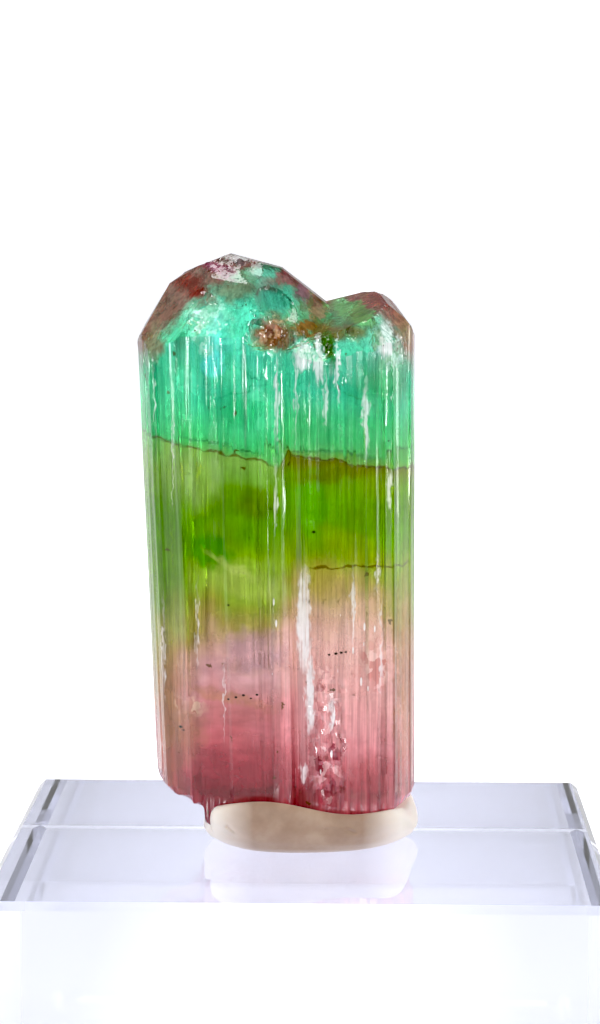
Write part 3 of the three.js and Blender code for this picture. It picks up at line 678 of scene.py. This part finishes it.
# The finest striations, a quarter of a millimetre apart, are a bump a twentieth of a millimetre high
fine = add(gem, "VectorMath", gem_place, (1, 1, 0.03), operation="MULTIPLY")
striae = add(gem, "TexNoise", {"Vector": fine, "Scale": 4.0, "Detail": 1, "Roughness": 0.5})
grooved = add(gem, "Bump", {"Height": striae, "Strength": 0.45, "Distance": 0.05 / MM_IN_M})
roughness = add(gem, "MapRange", cloud, 0.35, 0.7, 0.03, 0.16)
clear = add(gem, "MapRange", cloud, 0.35, 0.65, 0.9, 0.6)
clear = add(gem, "Math", clear, add(gem, "MapRange", white, 0, 1, 1, 0.5), operation="MULTIPLY")
clear = add(gem, "Math", clear, add(gem, "MapRange", fill, 0, 1, 1, 0.3), operation="MULTIPLY")
clear = add(gem, "Math", clear, add(gem, "Math", 1.0, dull, operation="SUBTRACT"), operation="MULTIPLY")
clear = add(gem, "Math", clear, add(gem, "MapRange", gem_z, 30, 38, 0.75, 1), operation="MULTIPLY")
clear = add(gem, "Math", clear, add(gem, "MapRange", gem_z, 22.8, 24.4, 0.4, 1), operation="MULTIPLY")
shader = add(gem, "BsdfPrincipled", {"Base Color": colour, "IOR": 1.635, "Roughness": roughness,
                                     "Normal": grooved, "Transmission Weight": clear})
haze = add(gem, "VolumeAbsorption", linear("E8E4D8"), 10)
add(gem, "OutputMaterial", shader, haze, out=None)
tourmaline.data.materials.append(tourmaline_gem)

# The mounting putty
# A pinch of soft cream mineral putty, pressed by hand between the block and the crystal's broken foot.
# It is an oil and chalk mix, so it is matt, a little waxy, and keeps finger creases.
PUTTY_CENTRE = (0.4, 0.0)
PUTTY_HALF_WIDTH, PUTTY_HALF_DEPTH, PUTTY_FORWARD, PUTTY_LIP = 7.05, 6.45, 0.4, 3.3
LIP_WAVE, LIP_CREST_X, LIP_DIP_X, LIP_END_DROP, LIP_RIGHT_DROP = 0.14, -2.8, 3.1, 0.38, 0.2
PUTTY_PROFILE = np.array([[0.82, 0], [0.9, 0.08], [0.97, 0.25], [1, 0.48], [0.995, 0.7], [0.97, 0.88],
                          [0.93, 1], [0.87, 0.97], [0.6, 0.85]])
SQUARENESS, PUTTY_LUMP, BLOCK_TOP, PUTTY_GAP = (2, 4), 0.035, 20.0, 0.015
profile_run = np.r_[0, np.cumsum(np.linalg.norm(np.diff(PUTTY_PROFILE * [7, 3.3], axis=0), axis=1))]
profile_run /= profile_run[-1]
dense = np.linspace(0, 1, 600)
kernel = np.hanning(61) / np.hanning(61).sum()
padded = [np.pad(np.interp(dense, profile_run, values), len(kernel) // 2, mode="edge")
          for values in PUTTY_PROFILE.T]
smooth_radius, smooth_height = (np.convolve(values, kernel, "valid") for values in padded)


def putty_lump(turn, share):
    """The lump's skin in millimetres: a profile carried round its middle, whose radius is that of a
    superellipse that is round on the block and squarer at the lip, times a slow wander."""
    radius, height = np.interp(share, dense, smooth_radius), np.interp(share, dense, smooth_height)
    x, y = radius * np.cos(turn), radius * np.sin(turn)
    wander = np.sin(2 * turn + 0.6) + 0.6 * np.sin(3 * turn + 2) + 0.5 * np.sin(5 * turn)
    power = SQUARENESS[0] + (SQUARENESS[1] - SQUARENESS[0]) * height
    round_ = (np.abs(np.cos(turn)) ** power + np.abs(np.sin(turn)) ** power) ** (1 / power)
    reach_out = (1 + PUTTY_LUMP * wander) / round_
    across = PUTTY_CENTRE[0] + PUTTY_HALF_WIDTH * reach_out * x
    swing = np.cos(np.pi * (across - LIP_CREST_X) / (LIP_DIP_X - LIP_CREST_X))
    tall = 1 + LIP_WAVE * swing - LIP_END_DROP * np.abs(x) ** 6 - LIP_RIGHT_DROP * np.clip(x, 0, 1) ** 4
    return np.stack([across, PUTTY_CENTRE[1] + PUTTY_HALF_DEPTH * reach_out * y - PUTTY_FORWARD * height,
                     BLOCK_TOP + PUTTY_LIP * height * tall], -1)


PUTTY_COLUMNS, PUTTY_ROWS, SURELY_INSIDE = 420, 90, 0.42
putty_turns = np.linspace(-np.pi, np.pi, PUTTY_COLUMNS, endpoint=False)
near, far = np.full(PUTTY_COLUMNS, SURELY_INSIDE), np.ones(PUTTY_COLUMNS)
for _ in range(20):
    middle = (near + far) / 2
    outside = beyond_crystal(putty_lump(putty_turns, middle)) > PUTTY_GAP
    near, far = np.where(outside, middle, near), np.where(outside, far, middle)
skin = putty_lump(putty_turns, np.linspace(0, 1, PUTTY_ROWS)[:, None] * near)

# From the lip the skin goes down the crystal's own wall to the flat under its foot
UNDER_FOOT = FOOT_Z - 0.03
lip = skin[-1]
wall_height = lip[:, 2] + (UNDER_FOOT - lip[:, 2]) * np.linspace(0, 1, 14)[1:, None]
axis_at = AXIS_AT_FOOT[0] - LEAN_TO_LEFT * (wall_height - FOOT_Z) / (SHOULDER_Z - FOOT_Z)
toward = lip[:, :2] - AXIS_AT_FOOT
toward = toward / np.linalg.norm(toward, axis=1, keepdims=True)
wall_from = np.stack([axis_at, np.full_like(axis_at, AXIS_AT_FOOT[1]),
                      np.maximum(wall_height, FOOT_Z + 0.01)], -1)
wall_way = np.broadcast_to(np.concatenate([toward, np.zeros((PUTTY_COLUMNS, 1))], 1), wall_from.shape)
wall = wall_from + wall_way * (reach(wall_from, wall_way, 14) + PUTTY_GAP)[..., None]
wall[..., 2] = wall_height
under = np.broadcast_to([-1.0, 0.0, UNDER_FOOT], (1, PUTTY_COLUMNS, 3))
base = np.broadcast_to([*PUTTY_CENTRE, BLOCK_TOP], (1, PUTTY_COLUMNS, 3))

# Creases and dents in the front: two ends in x and z, width and depth in millimetres
CREASES = [
    ((-4.95, 21.95), (-4.5, 21.6), 0.09, 0.22), ((-6.1, 21.85), (-4.5, 21.15), 0.22, 0.1),
    ((-4.6, 21.2), (-3.2, 20.9), 0.25, 0.05), ((1.58, 21.9), (1.64, 21.88), 0.06, 0.12),
    ((3.0, 21.85), (3.45, 21.62), 0.12, 0.12), ((0.2, 22.7), (3.4, 21.7), 0.35, -0.05),
    ((5.2, 21.3), (6.6, 21.9), 0.3, 0.06), ((-2.5, 20.9), (0.5, 20.8), 0.5, 0.06),
]
rows = skin.copy()
front = np.clip(-rows[..., 1] / 3, 0, 1)
for (x1, z1), (x2, z2), width, depth in CREASES:
    run_x, run_z = x2 - x1, z2 - z1
    share = np.clip(((rows[..., 0] - x1) * run_x + (rows[..., 2] - z1) * run_z) / (run_x ** 2 + run_z ** 2),
                    0, 1)
    away = np.hypot(rows[..., 0] - x1 - share * run_x, rows[..., 2] - z1 - share * run_z)
    rows[..., 1] += front * depth * np.exp(-(away / width) ** 2)

# Soft finger dents, about 3 mm apart and under a tenth of a millimetre deep
dents = sum(np.sin(rows @ way + phase) for way, phase in zip(
    np.random.default_rng(5).normal(0, 1.3, (6, 3)), np.random.default_rng(6).uniform(0, 6, 6)))
ramp = np.sin(np.pi * np.linspace(0, 1, PUTTY_ROWS))[:, None]
rows[..., :2] *= (1 - 0.002 * (1 + dents / 6) * ramp)[..., None]
putty_grid = np.concatenate([base, rows, wall, under])
putty = grid_piece("putty_lump", putty_grid, crease=60)
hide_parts("mounting_putty")
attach(putty, "root")

# Cream mineral putty: matt and faintly waxy, mottled where it has picked up dust
putty_finish = bpy.data.materials.new("cream_mineral_putty")
putty_finish.use_nodes = True
dough = putty_finish.node_tree
dough.nodes.clear()
dough_place = add(dough, "VectorMath", {0: add(dough, "TexCoord", out="Object"), "Scale": MM_IN_M},
                  operation="SCALE")
mottle = add(dough, "TexNoise", {"Vector": dough_place, "Scale": 0.45, "Detail": 5, "Roughness": 0.55})
cream = add(dough, "ValToRGB", mottle, stops=[(0.35, "A68973"), (0.5, "B1947D"), (0.68, "BEA38C")])

# Its two ends are painted nearly white: painted light, for the side light that falls on the thin pressed ends
# and comes through them
from_middle = add(dough, "SeparateXYZ", dough_place, out="X")
from_middle = add(dough, "Math", add(dough, "Math", from_middle, PUTTY_CENTRE[0], operation="SUBTRACT"),
                  operation="ABSOLUTE")
cream = add(dough, "Mix", {0: add(dough, "MapRange", from_middle, 3.6, 6.2), 6: cream, 7: linear("FBEFE2")},
            data_type="RGBA", out=2)
grain = add(dough, "TexNoise", {"Vector": dough_place, "Scale": 6, "Detail": 4})
pressed = add(dough, "Bump", {"Height": grain, "Strength": 0.35, "Distance": 0.05 / MM_IN_M})
waxy = add(dough, "MapRange", mottle, 0.3, 0.7, 0.42, 0.6)
putty_shader = add(dough, "BsdfPrincipled", {
    "Base Color": cream, "Roughness": waxy, "Normal": pressed, "IOR": 1.48,
    "Subsurface Weight": 0.25, "Subsurface Radius": (1.0, 0.7, 0.5), "Subsurface Scale": 1.2 / MM_IN_M,
    "Sheen Weight": 0.6, "Sheen Roughness": 0.5, "Sheen Tint": linear("FFF4EA"),
})
add(dough, "OutputMaterial", putty_shader, out=None)
putty.data.materials.append(putty_finish)

# The clear block
# A square block cut from thick cast acrylic, with flame polished sides and a narrow chamfer all round.
acrylic = bpy.data.materials.new("polished_cast_acrylic")
acrylic.use_nodes = True
sheet = acrylic.node_tree
sheet.nodes.clear()
sheet_place = add(sheet, "VectorMath", {0: add(sheet, "TexCoord", out="Object"), "Scale": MM_IN_M},
                  operation="SCALE")

# Single wiping marks are too fine to show, so they are drawn as soft smears 3 mm wide and 15 mm long
smear = add(sheet, "VectorMath", sheet_place, (0.05, 0.3, 0.3), operation="MULTIPLY")
smear = add(sheet, "TexNoise", {"Vector": smear, "Scale": 1.2, "Detail": 6, "Roughness": 0.6})
polish = add(sheet, "MapRange", smear, 0.4, 0.75, 0.0, 0.09)
acrylic_shader = add(sheet, "BsdfPrincipled", {"Base Color": linear("F7F8FD"), "IOR": 1.491,
                                               "Transmission Weight": 1.0, "Roughness": polish})
acrylic_tint = add(sheet, "VolumeAbsorption", linear("C6CAE6"), 14)
add(sheet, "OutputMaterial", acrylic_shader, acrylic_tint, out=None)
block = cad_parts["clear_block"]
block.data.materials.clear()
block.data.materials.append(acrylic)

# The studio
# White paper that the block stands on, in a white surround. Both are dark in front for mirrored rays
# alone, as a black card in front is, so that polished faces keep their own colour.
FLOOR_HALF, FLOOR_DROP = 3.0, 0.0002
floor_mesh = bpy.data.meshes.new("studio_floor")
floor_mesh.from_pydata([(-FLOOR_HALF, -FLOOR_HALF, -FLOOR_DROP), (FLOOR_HALF, -FLOOR_HALF, -FLOOR_DROP),
                        (FLOOR_HALF, FLOOR_HALF, -FLOOR_DROP), (-FLOOR_HALF, FLOOR_HALF, -FLOOR_DROP)],
                       [], [(0, 1, 2, 3)])
studio_floor = bpy.data.objects.new("studio_floor", floor_mesh)
bpy.context.scene.collection.objects.link(studio_floor)
paper = bpy.data.materials.new("white_studio_paper")
paper.use_nodes = True
table_top = paper.node_tree
table_top.nodes.clear()
floor_place = add(table_top, "TexCoord", out="Object")
floor_x, floor_y, _ = add(table_top, "SeparateXYZ", floor_place, out=None).outputs
mirrored = add(table_top, "LightPath", out="Is Reflection Ray")
lit = add(table_top, "Math", 1.0, mirrored, operation="SUBTRACT")
lit = add(table_top, "Math", lit, add(table_top, "MapRange", floor_y, -0.2, -0.05), operation="MAXIMUM")
# The paper also glows: a painted pool of light, strongest within 6 mm of the middle line and lower past 18
# mm, left out where mirrored rays see it dark in front, with an even glow more where it is seen straight on
from_middle_line = add(table_top, "Math", floor_x, operation="ABSOLUTE")
glow = add(table_top, "MapRange", from_middle_line, 0.006, 0.018, 0.75, 0.4)
glow = add(table_top, "Math", lit, glow, operation="MULTIPLY")
glow = add(table_top, "Math", add(table_top, "LightPath", out="Is Camera Ray"), 0.4, glow,
           operation="MULTIPLY_ADD")
paper_colour = add(table_top, "Mix", {0: lit, 6: linear("26282E"), 7: linear("F6F6F8")},
                   data_type="RGBA", out=2)
paper_shader = add(table_top, "BsdfPrincipled", {
    "Base Color": paper_colour, "Roughness": 0.8,
    "Emission Color": linear("F8F9FF"), "Emission Strength": glow,
})
add(table_top, "OutputMaterial", paper_shader, out=None)
floor_mesh.materials.append(paper)

surround = bpy.data.worlds.new("white_surround")
bpy.context.scene.world = surround
surround.use_nodes = True
sky = surround.node_tree
sky.nodes.clear()
_, sky_y, sky_z = add(sky, "SeparateXYZ", add(sky, "TexCoord", out="Generated"), out=None).outputs
behind = add(sky, "Math", add(sky, "MapRange", sky_y, -0.45, 0.15, 0, 0.36),
             add(sky, "MapRange", sky_z, 0.2, 0.6, 1.0, 0.3), operation="MULTIPLY")
through = add(sky, "Math", add(sky, "LightPath", out="Is Transmission Ray"),
              add(sky, "MapRange", sky_z, 0.2, 0.6, 1.0, 0.5), operation="MULTIPLY")
through = add(sky, "Math", through, add(sky, "MapRange", sky_y, -0.93, -0.8, 0.45, 1.0), operation="MULTIPLY")
bright = add(sky, "Math", add(sky, "LightPath", out="Is Camera Ray"), through, operation="MAXIMUM")
bright = add(sky, "Math", bright, behind, operation="MAXIMUM")
shade = add(sky, "ValToRGB", bright, stops=[(0, "2C2E34"), (1, "FFFFFF")])
add(sky, "OutputWorld", add(sky, "Background", shade, 1.25), out=None)

# Lights: name, place and aim in metres, width, height, power
LIGHTS = [
    ("key_softbox", (-0.28, -0.3, 0.36), (0, 0, 0.04), 0.12, 0.12, 0.6),
    ("right_strip", (0.34, -0.16, 0.1), (0, 0, 0.04), 0.012, 0.2, 0.3),
    ("front_strip", (0.07, -0.45, 0.12), (0, 0, 0.04), 0.03, 0.2, 0.4),
    ("left_strip", (-0.16, -0.4, 0.1), (0, 0, 0.04), 0.02, 0.2, 0.22),
    ("top_softbox", (0, 0.05, 0.5), (0, 0, 0.04), 0.3, 0.3, 1.2),
    ("left_side_softbox", (-0.4, 0.06, 0.06), (0, 0, 0.03), 0.15, 0.15, 0.4),
    ("right_side_softbox", (0.4, 0.06, 0.06), (0, 0, 0.03), 0.15, 0.15, 0.4),
]
for name, place, aim, width, height, power in LIGHTS:
    lamp = bpy.data.lights.new(name, "AREA")
    lamp.shape, lamp.size, lamp.size_y, lamp.energy = "RECTANGLE", width, height, power
    light = bpy.data.objects.new(name, lamp)
    light.location = place
    light.rotation_euler = (Vector(aim) - Vector(place)).to_track_quat("-Z", "Y").to_euler()
    bpy.context.scene.collection.objects.link(light)

# The camera
# A long lens a little above the crystal's middle, looking slightly down on the block's top.
YAW, PITCH, ROLL = map(math.radians, (1.06, 6.36, 0.195))
ahead = Vector((-math.sin(YAW) * math.cos(PITCH), math.cos(YAW) * math.cos(PITCH), -math.sin(PITCH)))
right = Vector((math.cos(YAW), math.sin(YAW), 0))
up = right.cross(ahead)
lens = bpy.data.cameras.new("camera")
lens.lens, lens.sensor_width, lens.clip_start, lens.clip_end = 111.34, 36, 0.01, 20
camera = bpy.data.objects.new("camera", lens)
camera.matrix_world = Matrix.Translation((0.00362, -0.21217, 0.06593)) @ Matrix((
    math.cos(ROLL) * right + math.sin(ROLL) * up,
    -math.sin(ROLL) * right + math.cos(ROLL) * up,
    -ahead,
)).transposed().to_4x4()
bpy.context.scene.collection.objects.link(camera)
bpy.context.scene.camera = camera
tone = bpy.context.scene.view_settings
tone.view_transform = "Standard"
tone.use_curve_mapping = True
tone.curve_mapping.black_level = (0.02, 0.02, 0.022)
tone.curve_mapping.white_level = (0.87, 0.87, 0.87)
tone.curve_mapping.update()
